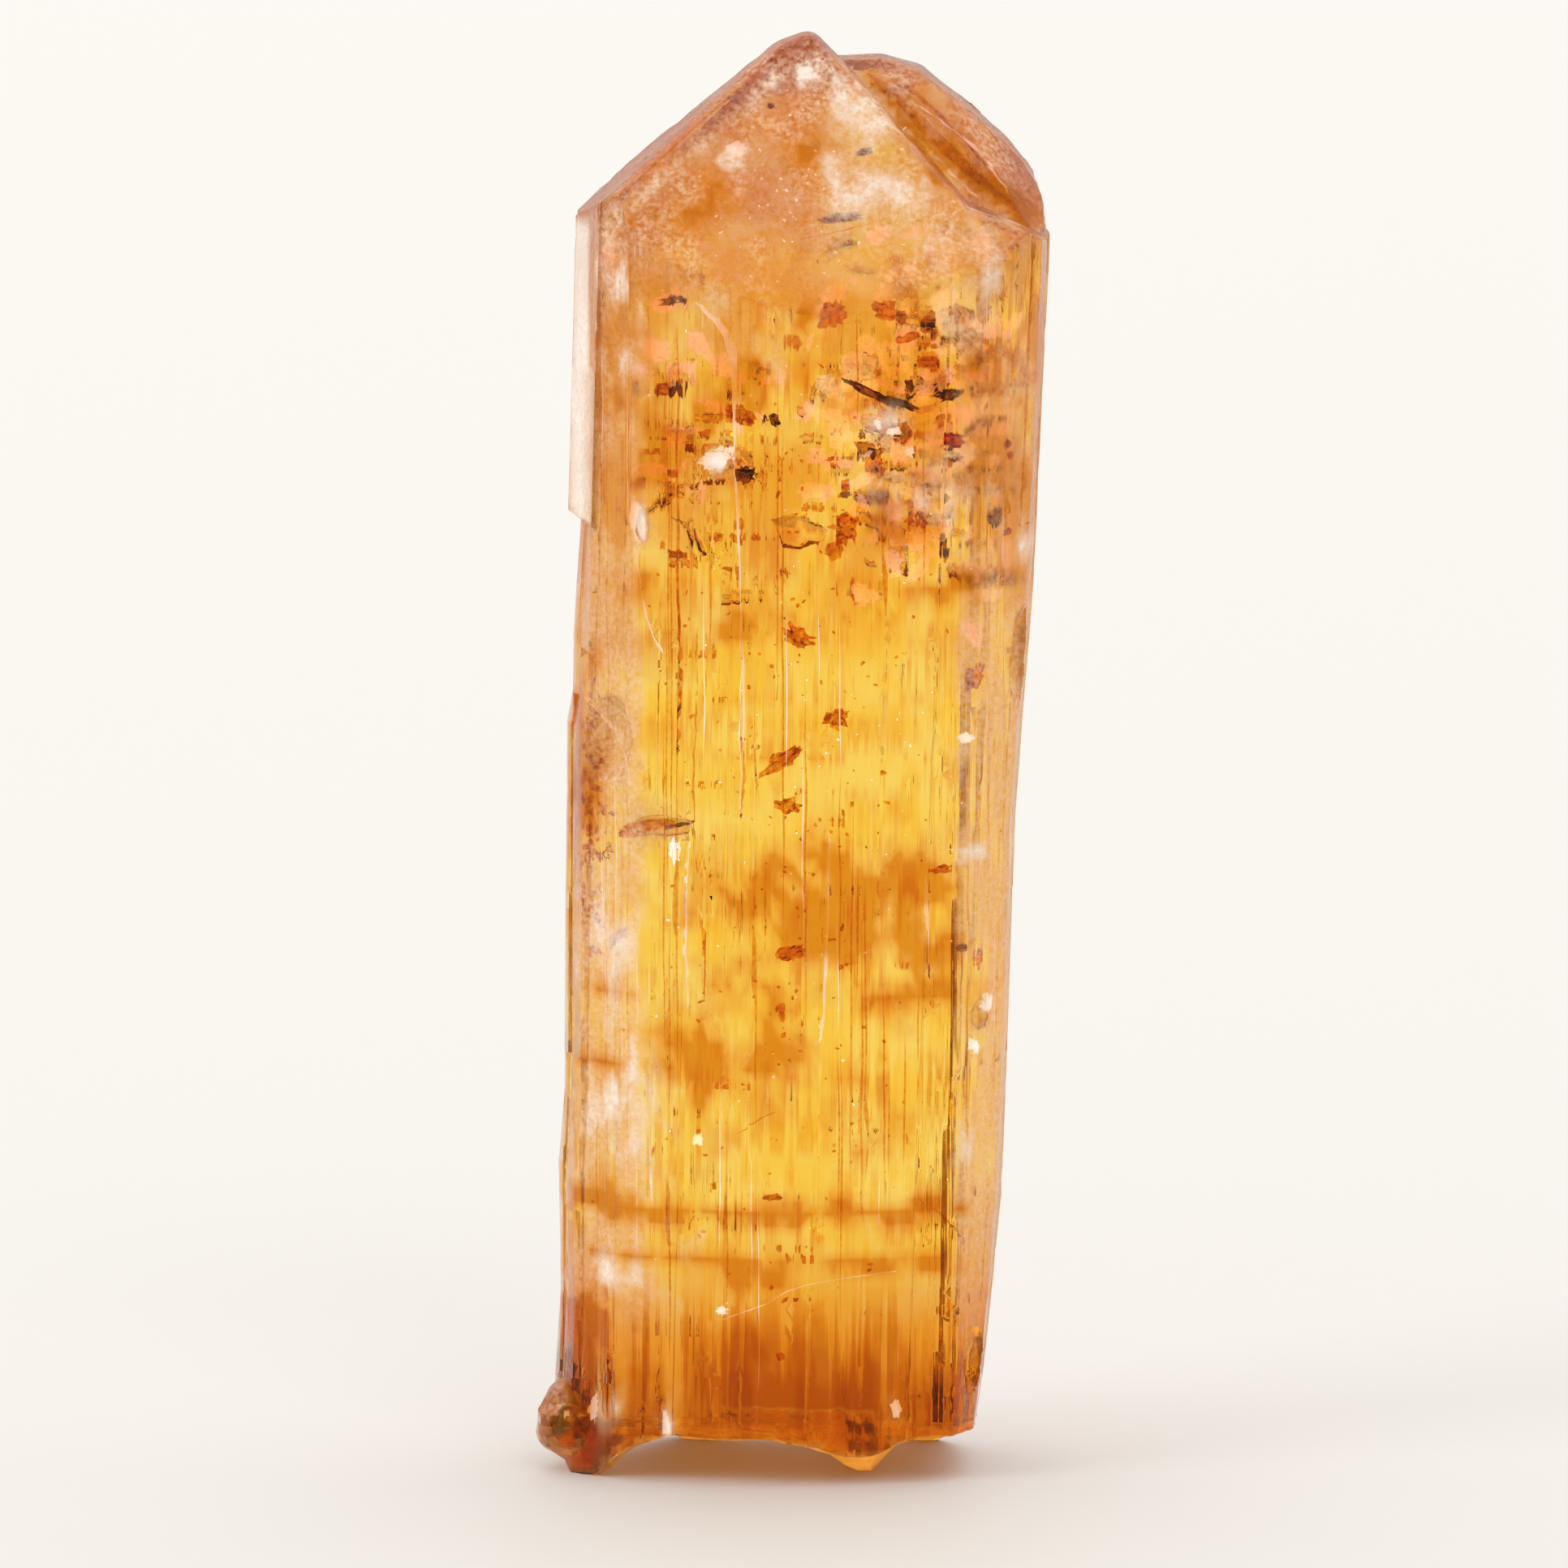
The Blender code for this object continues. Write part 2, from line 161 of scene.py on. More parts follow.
# Straight strips: two ends across and up, half width and strength. The first three brown strips are painted shade
# along the valley at the upper right
STAIN_AND_SHADE_STRIPS = (
    ((1.9, 35.0), (3.6, 33.0), 0.22, 0.90),
    ((3.6, 33.0), (6.0, 31.6), 0.36, 1.00),
    ((3.0, 33.8), (5.4, 32.1), 0.24, 0.85),
    ((-5.0, 6.85), (4.2, 6.95), 0.36, 0.85),
    ((-4.8, 5.75), (4.2, 5.5), 0.28, 0.80),
    ((-1.0, 29.9), (2.4, 28.6), 0.25, 0.35),
)
PALE_STRIPS = (
    ((-4.7, 31.4), (0.2, 35.5), 0.20, 0.90),
    ((0.6, 35.5), (5.9, 31.2), 0.18, 0.90),
    ((-5.2, 29.2), (-0.4, 28.2), 0.35, 0.50),
    ((-4.9, 31.2), (-1.4, 29.6), 0.30, 0.50),
)


def write_sizes(file_key, sizes):
    """Note the box of what is shown."""
    low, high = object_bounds()
    sizes[file_key] = [list(map(float, low)), list(map(float, high))]


def new_material(name):
    """A material with an empty Principled surface, with its tree."""
    material = bpy.data.materials.new(name)
    material.use_nodes = True
    tree = material.node_tree
    return material, tree, tree.nodes["Principled BSDF"]


def add(tree, kind, **values):
    """A node with its settings."""
    node = tree.nodes.new(kind)
    for key, value in values.items():
        setattr(node, key, value)
    return node


def math_node(tree, operation, first, second, clamp=False):
    """One sum on two values or sockets."""
    node = add(tree, "ShaderNodeMath", operation=operation, use_clamp=clamp)
    for socket, value in zip(node.inputs, (first, second)):
        if isinstance(value, (int, float)):
            socket.default_value = value
        else:
            tree.links.new(value, socket)
    return node.outputs[0]


def mix_colour(tree, share, first, second):
    """A blend of two colours or sockets."""
    node = add(tree, "ShaderNodeMix", data_type="RGBA")
    for index, value in ((0, share), (6, first), (7, second)):
        if isinstance(value, (int, float, tuple)):
            node.inputs[index].default_value = value
        else:
            tree.links.new(value, node.inputs[index])
    return node.outputs[2]


def stretched_noise(tree, across, along, detail=4.0, roughness=0.55):
    """Noise with a number of grains to the millimetre across the prism and along it."""
    place = add(tree, "ShaderNodeTexCoord")
    scale = add(tree, "ShaderNodeMapping")
    scale.inputs["Scale"].default_value = (across / MM, across / MM, along / MM)
    grain = add(tree, "ShaderNodeTexNoise")
    grain.inputs["Scale"].default_value = 1.0
    grain.inputs["Detail"].default_value = detail
    grain.inputs["Roughness"].default_value = roughness
    tree.links.new(place.outputs["Object"], scale.inputs["Vector"])
    tree.links.new(scale.outputs["Vector"], grain.inputs["Vector"])
    return grain.outputs["Fac"]


def ramp(tree, value, low, high):
    """A value stretched to run from 0 at low to 1 at high."""
    node = add(tree, "ShaderNodeMapRange")
    node.inputs["From Min"].default_value = low
    node.inputs["From Max"].default_value = high
    tree.links.new(value, node.inputs["Value"])
    return node.outputs["Result"]


def mask(tree, name):
    """A mask painted on the mesh."""
    return add(tree, "ShaderNodeAttribute", attribute_name=name).outputs["Fac"]


def weighted_sum(tree, masks, weights):
    """Some masks added up, each by its weight."""
    total = 0.0
    for name, weight in weights.items():
        total = math_node(tree, "ADD", total, math_node(tree, "MULTIPLY", masks[name], weight))
    return total


def surface_tint(tree, masks, stripes, grain):
    """The colour of the skin, one mask over the other."""
    cloud = masks["cloud"]
    stain_and_shade = masks["stain_and_shade"]
    speckle = math_node(tree, "MULTIPLY", cloud, ramp(tree, grain, 0.35, 0.65))
    streak = math_node(tree, "MULTIPLY", ramp(tree, stripes, 0.56, 0.72), math_node(tree, "ADD", cloud, 0.20))
    tint = mix_colour(tree, cloud, CLEAR, GOLD)
    tint = mix_colour(tree, masks["frost"], tint, mix_colour(tree, speckle, PINK, BLUSH))
    tint = mix_colour(tree, math_node(tree, "MULTIPLY", streak, LINE_SHARE, clamp=True), tint, LINE)
    # PEACH over the pale mask is partly a painted reflection
    tint = mix_colour(tree, masks["pale"], tint, PEACH)
    # The brown mix is mostly staining, with painted shade along the groove at the upper right
    tint = mix_colour(tree, stain_and_shade, tint, STAIN_AND_SHADE)
    tint = mix_colour(tree, ramp(tree, stain_and_shade, 0.75, 1.25), tint, UMBER)
    tint = mix_colour(tree, masks["rough"], tint, mix_colour(tree, grain, BREAK_DARK, BREAK_PALE))
    # WHITE over the white mask is partly a painted highlight
    return mix_colour(tree, masks["white"], tint, WHITE)


def topaz_material():
    """Clear warm stone, frosted on its end faces, with grown stripes and stained patches, and painted shade,
    reflections and highlights on its skin.
    """
    material, tree, shader = new_material("topaz")
    shader.inputs["IOR"].default_value = TOPAZ_IOR
    shader.inputs["Specular IOR Level"].default_value = SHEEN_LEVEL
    shader.inputs["Specular Tint"].default_value = SHEEN_TINT

    masks = {name: mask(tree, name) for name in ("frost", "rough", "stain_and_shade", "pale", "white", "cloud")}
    stripes = stretched_noise(tree, 5.0, 0.07, detail=2.5, roughness=0.75)
    grain = stretched_noise(tree, 7.0, 7.0, detail=1.5, roughness=0.7)
    tree.links.new(surface_tint(tree, masks, stripes, grain), shader.inputs["Base Color"])

    matt = math_node(tree, "ADD", weighted_sum(tree, masks, MATT), POLISH, clamp=True)
    tree.links.new(matt, shader.inputs["Roughness"])

    milky = math_node(tree, "MULTIPLY", weighted_sum(tree, masks, MILK), ramp(tree, grain, 0.25, 0.65))
    milky = math_node(tree, "ADD", milky, math_node(tree, "MULTIPLY", masks["white"], WHITE_MILK))
    through = math_node(tree, "SUBTRACT", 1.0, milky, clamp=True)
    tree.links.new(through, shader.inputs["Transmission Weight"])

    pitted = math_node(tree, "MULTIPLY", grain, math_node(tree, "ADD", masks["frost"], masks["rough"]))
    relief = math_node(tree, "ADD", stripes, math_node(tree, "MULTIPLY", pitted, PITTED_SHARE))
    bump = add(tree, "ShaderNodeBump")
    bump.inputs["Strength"].default_value = BUMP_STRENGTH
    bump.inputs["Distance"].default_value = BUMP_DEPTH * MM
    tree.links.new(relief, bump.inputs["Height"])
    tree.links.new(bump.outputs["Normal"], shader.inputs["Normal"])

    body = add(tree, "ShaderNodeVolumeAbsorption")
    body.inputs["Color"].default_value = ABSORPTION_COLOUR
    body.inputs["Density"].default_value = ABSORPTION_DENSITY
    tree.links.new(body.outputs["Volume"], tree.nodes["Material Output"].inputs["Volume"])
    return material


def plain_material(name, colour, roughness, glow=0.0):
    """An opaque material of one colour, which may glow as painted light."""
    material, _, shader = new_material(name)
    shader.inputs["Base Color"].default_value = (*colour, 1.0)
    shader.inputs["Roughness"].default_value = roughness
    shader.inputs["Emission Color"].default_value = (*colour, 1.0)
    shader.inputs["Emission Strength"].default_value = glow
    return material


def clear_material(name, first, second, ior):
    """A see-through material in two mottled colours, in what lies inside the stone."""
    material, tree, shader = new_material(name)
    grain = ramp(tree, stretched_noise(tree, 6.0, 6.0, detail=2.0), 0.40, 0.60)
    tree.links.new(mix_colour(tree, grain, (*first, 1.0), (*second, 1.0)), shader.inputs["Base Color"])
    shader.inputs["Roughness"].default_value = 0.0
    shader.inputs["Transmission Weight"].default_value = 1.0
    shader.inputs["IOR"].default_value = ior
    return material


def glowing_veil_material(name, colour, see_through, glow):
    """A pale veil in the stone, half see-through, with a faint painted glow."""
    material, _, shader = new_material(name)
    shader.inputs["Base Color"].default_value = (*colour, 1.0)
    shader.inputs["Roughness"].default_value = 0.0
    shader.inputs["IOR"].default_value = 1.0
    shader.inputs["Transmission Weight"].default_value = see_through
    shader.inputs["Emission Color"].default_value = (*colour, 1.0)
    shader.inputs["Emission Strength"].default_value = glow
    return material


def slice_faces(shape, faces, axis, place):
    """Cut some faces along one plane across an axis."""
    edges = {edge for face in faces for edge in face.edges}
    verts = {vert for face in faces for vert in face.verts}
    point = [0.0, 0.0, 0.0]
    point[axis] = place
    normal = [0.0, 0.0, 0.0]
    normal[axis] = 1.0
    bmesh.ops.bisect_plane(
        shape, geom=[*verts, *edges, *faces], plane_co=point, plane_no=normal, dist=1e-9
    )


def crossing(shape, axis, place, low=-1.0):
    """The faces that a plane across an axis cuts, above a height."""
    found = []
    for face in shape.faces:
        along = [vert.co[axis] for vert in face.verts]
        if min(along) < place < max(along) and max(vert.co.z for vert in face.verts) > low:
            found.append(face)
    return found


def steps_between(low, high, stride):
    """Evenly spaced places inside a range."""
    count = max(1, round((high - low) / stride))
    return [low + (high - low) * number / count for number in range(1, count)]


def etched(place, normal):
    """How far the surface sinks at a place, by its growth lines and etching."""
    side = 1.0 - min(1.0, abs(normal.z) * 2.0)
    lines = 0.5 + 0.5 * noise.noise(Vector((place.x * 4.2, place.y * 4.2, place.z * 0.11)))
    broad = 0.5 + 0.5 * noise.noise(Vector((place.x * 1.3, place.y * 1.3, place.z * 0.16 + 7.0)))
    pits = max(0.0, noise.noise(place * 2.3) - 0.25)
    hills = 0.5 + 0.5 * noise.fractal(place * 1.1, 1.0, 2.0, 4)
    sink = side * (LINE_DEPTH * lines + WAVE_DEPTH * broad) + (1.0 - side) * HILL_DEPTH * hills
    return (sink + PIT_DEPTH * pits) * min(1.0, max(0.0, place.z - 0.02) / FOOT_FADE)


def fine_shape(node):
    """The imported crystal's mesh, scaled to millimetres and cut into small faces."""
    shape = bmesh.new()
    shape.from_mesh(node.data)
    bmesh.ops.remove_doubles(shape, verts=shape.verts[:], dist=1e-7)
    bmesh.ops.scale(shape, vec=(1.0 / MM, 1.0 / MM, 1.0 / MM), verts=shape.verts[:])
    bmesh.ops.dissolve_limit(shape, angle_limit=FLAT_ANGLE, verts=shape.verts[:], edges=shape.edges[:])
    for place in steps_between(0.0, TOP, ROW_STEP):
        slice_faces(shape, crossing(shape, 2, place), 2, place)
    for place in steps_between(-HALF_WIDTH, HALF_WIDTH, COLUMN_STEP):
        slice_faces(shape, crossing(shape, 0, place), 0, place)
    for place in steps_between(-HALF_DEPTH, HALF_DEPTH, COLUMN_STEP):
        slice_faces(shape, crossing(shape, 1, place, END_LOW), 1, place)
    bmesh.ops.triangulate(shape, faces=shape.faces[:])
    return shape


def paint(mesh, name, values):
    """Keep one number for each vertex, which the shader reads by name."""
    layer = mesh.attributes.new(name, "FLOAT", "POINT")
    layer.data.foreach_set("value", np.asarray(values, np.float32))


def smooth_step(low, high, value):
    """A soft rise from 0 at low to 1 at high."""
    share = np.clip((value - low) / (high - low), 0.0, 1.0)
    return share * share * (3.0 - 2.0 * share)


def cloud_noise(places, across, along, seed):
    """Loose clouds from 0 to 1, with a number of them to the millimetre."""
    grown = []
    for x, y, z in places:
        scaled = Vector((x * across, y * across + seed, z * along))
        grown.append(0.5 + 0.8 * noise.fractal(scaled, 0.9, 2.1, 5))
    return np.clip(np.array(grown), 0.0, 1.0)


def on_front(places):
    """How far places are on the front half, from 0 to 1."""
    return smooth_step(1.0, -0.5, places[:, 1])


def spot(places, x, z, wide, high):
    """A round soft spot on the front and back, from 0 to 1."""
    return np.exp(-(((places[:, 0] - x) / wide) ** 2) - ((places[:, 2] - z) / high) ** 2)


def frost_mask(places, normals, cloud):
    """The end faces are frosted, least in the window at the right of the front one."""
    slope = smooth_step(0.25, 0.45, normals[:, 2])
    window = spot(places, 1.9, 32.4, 1.5, 2.0)
    edge = 30.3 + 0.055 * places[:, 0] ** 2
    below = 0.75 * smooth_step(edge - 2.0, edge, places[:, 2]) * (1.0 - slope)
    veil = 0.28 * spot(places, -3.9, 28.8, 1.5, 2.0)
    frost = slope * (1.0 - 0.75 * window) + below + veil
    return np.clip(frost * (0.55 + 0.9 * cloud), 0.0, 1.0)


# The rough spots that the solid's chips leave: place and reach
CHIPS = (
    ((-5.0, -2.78, 18.7), 1.05),
    ((-3.6, -3.3, 16.6), 0.7),
    ((-1.85, -3.7, 25.8), 0.42),
    ((-3.75, -3.3, 24.1), 0.45),
    ((4.81, -3.0, 11.8), 0.40),
    ((5.73, -2.05, 20.6), 0.55),
)


def rough_at(place, normal):
    """Fresh breaks are rough: the underside, the lump and the chips."""
    value = 0.8 * min(1.0, max(0.0, (-normal.z - 0.15) / 0.3))
    for chip, reach in CHIPS:
        value = max(value, min(1.0, 1.6 - 1.2 * math.dist(place, chip) / reach))
    return value


def patch_sum(places, patches):
    """How strongly named patches cover places on the front, from 0 to 1."""
    covered = np.zeros(len(places))
    for x, z, wide, high, strength in patches:
        apart = ((places[:, 0] - x) / wide) ** 2 + ((places[:, 2] - z) / high) ** 2
        covered = np.maximum(covered, strength * np.exp(-PATCH_SOFTNESS * apart))
    return covered * on_front(places)


def strip_sum(places, strips):
    """How strongly straight strips cover places on the front and the ends, from 0 to 1."""
    covered = np.zeros(len(places))
    flat = places[:, [0, 2]]
    for start, end, wide, strength in strips:
        run = np.subtract(end, start)
        along = np.clip((flat - start) @ run / (run @ run), 0.0, 1.0)
        apart = np.linalg.norm(flat - start - along[:, None] * run, axis=1)
        covered = np.maximum(covered, strength * np.exp(-((apart / wide) ** 2)))
    front = smooth_step(2.0, 0.5, places[:, 1])
    ends = smooth_step(30.8, 31.2, places[:, 2])
    return covered * np.maximum(front, ends)


def torn(painted, cloud, sharpness):
    """A painted mask broken up by clouds."""
    broken = painted + (cloud - 0.5) * TORN_SWING - TORN_FLOOR
    return np.clip(broken * sharpness, 0.0, 1.0) * (painted > TORN_EDGE)


def streaky(places):
    """Upright blurred streaks from 0 to 1, as at the foot of the stone."""
    return cloud_noise(places, 1.5, 0.28, 31.0)


def stain_and_shade_mask(places, cloud):
    """Brown staining, with painted shade along the groove at the upper right: the named patches and strips,
    clouds at the back, an orange haze and the foot.
    """
    across, deep, high = places.T
    back = 0.28 * smooth_step(-0.5, 1.5, deep)
    painted = np.maximum(patch_sum(places, STAINS), strip_sum(places, STAIN_AND_SHADE_STRIPS))
    stained = torn(np.maximum(1.15 * painted, back), cloud, 1.9)
    drift = smooth_step(0.25, 0.65, cloud_noise(places, 0.8, 0.5, 57.0))
    haze = 0.80 * smooth_step(20.0, 23.0, high) * smooth_step(31.8, 30.0, high) * on_front(places)
    haze = haze * (0.3 + 0.7 * drift)
    foot = 1.45 * smooth_step(7.0, 1.2, high) * (0.50 + 0.65 * streaky(places))
    lump = smooth_step(-5.6, -5.2, across + 0.12 * high)
    return np.maximum(np.maximum(stained, haze), foot) * (0.25 + 0.75 * lump)


def pale_and_reflection_mask(places, cloud):
    """Paler skin with painted reflections: the narrow faces at the left and right of the front, and the named
    patches.
    """
    across, _, high = places.T
    lit = smooth_step(31.0, 28.0, high) * smooth_step(2.2, 4.6, high)
    # The bands on the narrow left and right faces are painted reflections of the soft light
    left = smooth_step(-3.66, -3.82, across) * smooth_step(-5.9, -5.0, across) * 0.85
    right = smooth_step(3.95, 4.25, across) * 0.85
    painted = np.maximum((left + right) * lit * on_front(places), patch_sum(places, PALES_AND_REFLECTIONS))
    return torn(np.maximum(painted, strip_sum(places, PALE_STRIPS)), cloud, 1.6)


def white_and_highlight_mask(places, normals, cloud):
    """Whitish clouds with painted highlights, and a painted reflection on the flat layer at the upper left, which
    shines white where it faces the front.
    """
    across, _, high = places.T
    clouded = torn(patch_sum(places, WHITES_AND_HIGHLIGHTS), cloud, 1.5)
    side = smooth_step(-5.02, -5.12, across) * smooth_step(23.9, 24.1, high)
    facing = smooth_step(-0.10, -0.22, normals[:, 1])
    return np.maximum(clouded, side * smooth_step(31.6, 31.2, high) * facing)


def crystal_piece(node):
    """The crystal's shown surface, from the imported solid."""
    shape = fine_shape(node)
    shape.normal_update()
    places = np.array([vert.co for vert in shape.verts])
    normals = np.array([vert.normal for vert in shape.verts])
    rough = [rough_at(vert.co, vert.normal) for vert in shape.verts]
    moved = [vert.co - vert.normal * etched(vert.co, vert.normal) for vert in shape.verts]
    for vert, place in zip(shape.verts, moved):
        vert.co = place * MM
    mesh = bpy.data.meshes.new("crystal_surface")
    shape.to_mesh(mesh)
    shape.free()
    cloud = cloud_noise(places, 0.9, 0.7, 3.0)
    paint(mesh, "cloud", smooth_step(0.35, 0.75, cloud))
    paint(mesh, "frost", frost_mask(places, normals, cloud))
    paint(mesh, "rough", rough)
    paint(mesh, "stain_and_shade", stain_and_shade_mask(places, cloud_noise(places, 1.1, 0.9, 11.0)))
    paint(mesh, "pale", pale_and_reflection_mask(places, cloud_noise(places, 1.2, 0.6, 23.0)))
    paint(mesh, "white", white_and_highlight_mask(places, normals, cloud_noise(places, 2.2, 0.9, 41.0)))
    mesh.shade_smooth()
    mesh.set_sharp_from_angle(angle=SHARP_ANGLE)
    piece = bpy.data.objects.new("crystal_surface", mesh)
    bpy.context.scene.collection.objects.link(piece)
    mesh.materials.append(topaz_material())
    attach(piece, "root")
    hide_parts("crystal")
    print("surface triangles", len(mesh.polygons))
    return piece


class Skin:
    """Finds where the skin of the solid is."""

    def __init__(self, node):
        shape = bmesh.new()
        shape.from_mesh(node.data)
        bmesh.ops.scale(shape, vec=(1.0 / MM, 1.0 / MM, 1.0 / MM), verts=shape.verts[:])
        self.tree = bvhtree.BVHTree.FromBMesh(shape)
        shape.free()

    def kept_under(self, place):
        """The same place, or one just under the skin where it would stick out or touch."""
        for _ in range(SKIN_PASSES):
            near, normal, _, _ = self.tree.find_nearest(place)
            if (place - near).dot(normal) > -SKIN:
                place = near - normal * SKIN
        return place

    def depth(self, x, z):
        """Where the front is at a distance across and a height, or None beside the stone."""
        far_in_front = Vector((x, -20.0, z))
        hit = self.tree.ray_cast(far_in_front, Vector((0.0, 1.0, 0.0)))[0]
        return hit.y if hit else None


def flake(shape, centre, radii, spin, lean, seed, ragged=0.75, fineness=2):
    """A thin ragged flake, added to a bmesh."""
    turn = Matrix.Rotation(spin, 4, "Y") @ Matrix.Rotation(lean, 4, "X")
    made = bmesh.ops.create_icosphere(shape, subdivisions=fineness, radius=1.0)
    shift = Vector((seed * 1.7, seed * 0.9, seed * 2.3))
    for vert in made["verts"]:
        swell = 1.0 + ragged * noise.fractal(vert.co * 2.3 + shift, 0.5, 2.2, 4)
        body = Vector([part * radius * swell for part, radius in zip(vert.co, radii)])
        vert.co = turn @ body + Vector(centre)


def inside_piece(name, shape, material, front):
    """A joined mesh of things inside the stone, each place kept under its skin."""
    for vert in shape.verts:
        vert.co = front.kept_under(vert.co)
    bmesh.ops.scale(shape, vec=(MM, MM, MM), verts=shape.verts[:])
    mesh = bpy.data.meshes.new(name)
    shape.to_mesh(mesh)
    shape.free()
    mesh.shade_smooth()
    mesh.materials.append(material)
    piece = bpy.data.objects.new(name, mesh)
    bpy.context.scene.collection.objects.link(piece)
    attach(piece, "root")
    return piece


# Flakes seen in the stone: distance across, height, half width, half height, and the angle that it rises at
RUST = (
    (-0.21, 18.3, 0.52, 0.15, 0.6), (-0.07, 17.15, 0.28, 0.16, -0.2), (1.07, 19.35, 0.26, 0.20, 0.3),
    (4.50, 20.3, 0.18, 0.34, -0.3), (0.20, 21.4, 0.34, 0.20, -0.5), (3.70, 15.5, 0.22, 0.09, 0.1),
    (1.30, 24.1, 0.30, 0.34, 0.2), (1.00, 29.4, 0.26, 0.24, 0.5), (4.60, 13.25, 0.08, 0.22, 0.0),
    (-4.20, 13.75, 0.22, 0.12, 0.7), (-0.45, 7.3, 0.20, 0.07, 0.0), (2.3, 29.5, 0.30, 0.18, -0.2),
    (-3.1, 27.5, 0.20, 0.16, 0.4), (-1.2, 26.9, 0.34, 0.18, -0.6), (0.0, 13.5, 0.3, 0.16, 0.3),
)
GARNET = (
    (3.65, 27.7, 0.18, 0.14, 0.4), (4.00, 26.2, 0.22, 0.16, 0.2), (4.00, 25.8, 0.16, 0.12, 0.0),
    (5.30, 26.1, 0.10, 0.10, 0.0), (5.30, 25.8, 0.09, 0.08, 0.0), (5.33, 23.9, 0.13, 0.08, 0.2),
)
DARK = (
    (-0.52, 34.25, 0.07, 0.08, 0.0), (-5.38, 30.4, 0.06, 0.07, 0.0), (-2.96, 29.7, 0.20, 0.10, 0.3),
    (-1.10, 25.4, 0.22, 0.16, 0.2), (-0.42, 26.8, 0.10, 0.14, 0.5), (4.20, 13.5, 0.09, 0.09, 0.0),
    (1.9, 27.5, 0.62, 0.09, -0.5), (2.7, 27.2, 0.42, 0.08, -0.4), (5.0, 24.3, 0.16, 0.22, 0.3),
    (3.9, 27.4, 0.28, 0.12, 0.1), (1.2, 31.6, 0.45, 0.10, 0.1), (1.8, 33.2, 0.20, 0.09, 0.2),
    (3.75, 23.6, 0.08, 0.30, 0.1),
)
# Painted glints: white flakes that glow where chips and breaks catch the light, given the same way
BRIGHT_GLINTS = (
    (-1.84, 25.8, 0.36, 0.24, 0.4), (-3.77, 24.2, 0.16, 0.42, 0.2), (4.81, 12.05, 0.14, 0.20, 0.3),
    (4.52, 11.0, 0.10, 0.16, 0.2), (-1.37, 33.3, 0.20, 0.16, 0.3), (2.9, 26.0, 0.09, 0.11, 0.6),
    (1.62, 34.8, 0.12, 0.12, 0.6), (2.5, 26.5, 0.13, 0.09, 0.2), (2.1, 26.7, 0.08, 0.12, 0.5),
    (-2.3, 8.7, 0.10, 0.12, 0.0), (-1.7, 4.4, 0.12, 0.10, 0.0), (-3.10, 1.3, 0.10, 0.36, 0.1),
    (-4.9, 1.7, 0.12, 0.34, 0.0), (2.6, 1.9, 0.10, 0.20, 0.0), (4.3, 18.8, 0.14, 0.12, 0.3),
    (-2.9, 16.0, 0.12, 0.26, 0.1),
)
# What these flakes share
SEEN_HALF_DEPTH = 0.06
SEEN_RAGGED = 0.85
SEEN_FINENESS = 3


def seen_flakes(name, places, material, front, cover, seed):
    """Flakes at named places, a little behind the front."""
    chance = random.Random(seed)
    shape = bmesh.new()
    for number, (x, z, wide, high, rise) in enumerate(places):
        centre = (x, front.depth(x, z) + cover + chance.uniform(0.0, 0.3), z)
        radii = (wide, SEEN_HALF_DEPTH, high)
        lean = chance.uniform(-0.4, 0.4)
        flake(shape, centre, radii, -rise, lean, seed + number, SEEN_RAGGED, SEEN_FINENESS)
    return inside_piece(name, shape, material, front)


# Crowds of small flakes: name, material, first seed and count; the zone across, behind the front and up;
# half widths, thickness as a share of the width, and fineness
DEEP_CROWDS = (
    ("upper_voids", "void", 101, 60, ((0.4, 5.6), (0.3, 4.0), (22.0, 31.0)), (0.15, 0.60), 0.10, 2),
    ("left_voids", "void", 151, 26, ((-4.6, 0.8), (0.3, 4.0), (21.0, 30.0)), (0.15, 0.50), 0.10, 2),
    ("upper_rust", "rust", 201, 90, ((0.4, 5.4), (0.3, 4.5), (21.5, 30.5)), (0.05, 0.26), 0.25, 2),
    ("upper_dark", "dark", 301, 40, ((0.6, 5.2), (0.3, 3.5), (22.5, 29.5)), (0.04, 0.18), 0.25, 2),
    ("left_rust", "rust", 501, 40, ((-4.4, 1.0), (0.3, 4.5), (20.5, 29.5)), (0.05, 0.22), 0.25, 2),
    ("body_rust", "rust", 701, 30, ((-4.6, 4.2), (0.5, 5.0), (2.0, 20.0)), (0.03, 0.14), 0.25, 2),
)
SHALLOW_CROWDS = (
    ("left_grains", "rust", 801, 70, ((-5.6, -4.5), (0.06, 0.4), (13.0, 20.5)), (0.05, 0.16), 0.4, 2),
    ("left_specks", "void", 901, 50, ((-5.6, -4.3), (0.06, 0.5), (13.0, 20.5)), (0.04, 0.14), 0.4, 2),
    ("upper_cream", "cream", 5001, 84, ((0.2, 5.5), (0.3, 2.0), (22.0, 31.5)), (0.08, 0.42), 0.15, 3),
    ("upper_blush", "blush", 5101, 60, ((0.2, 5.6), (0.2, 1.5), (21.0, 32.0)), (0.06, 0.34), 0.15, 3),
    ("left_blush", "blush", 5201, 44, ((-5.2, 0.8), (0.2, 1.5), (21.5, 31.8)), (0.05, 0.30), 0.15, 3),
    ("rust_specks", "rust", 2001, 260, ((-5.2, 5.3), (0.12, 0.5), (2.5, 33.0)), (0.02, 0.07), 0.6, 1),
    # White specks that glow: painted glints
    ("white_specks", "white", 3001, 110, ((-5.2, 5.3), (0.12, 0.5), (2.5, 33.0)), (0.015, 0.04), 0.6, 1),
    ("top_specks", "white", 4001, 90, ((-4.0, 4.0), (0.12, 0.3), (28.5, 35.0)), (0.015, 0.05), 0.6, 1),
)


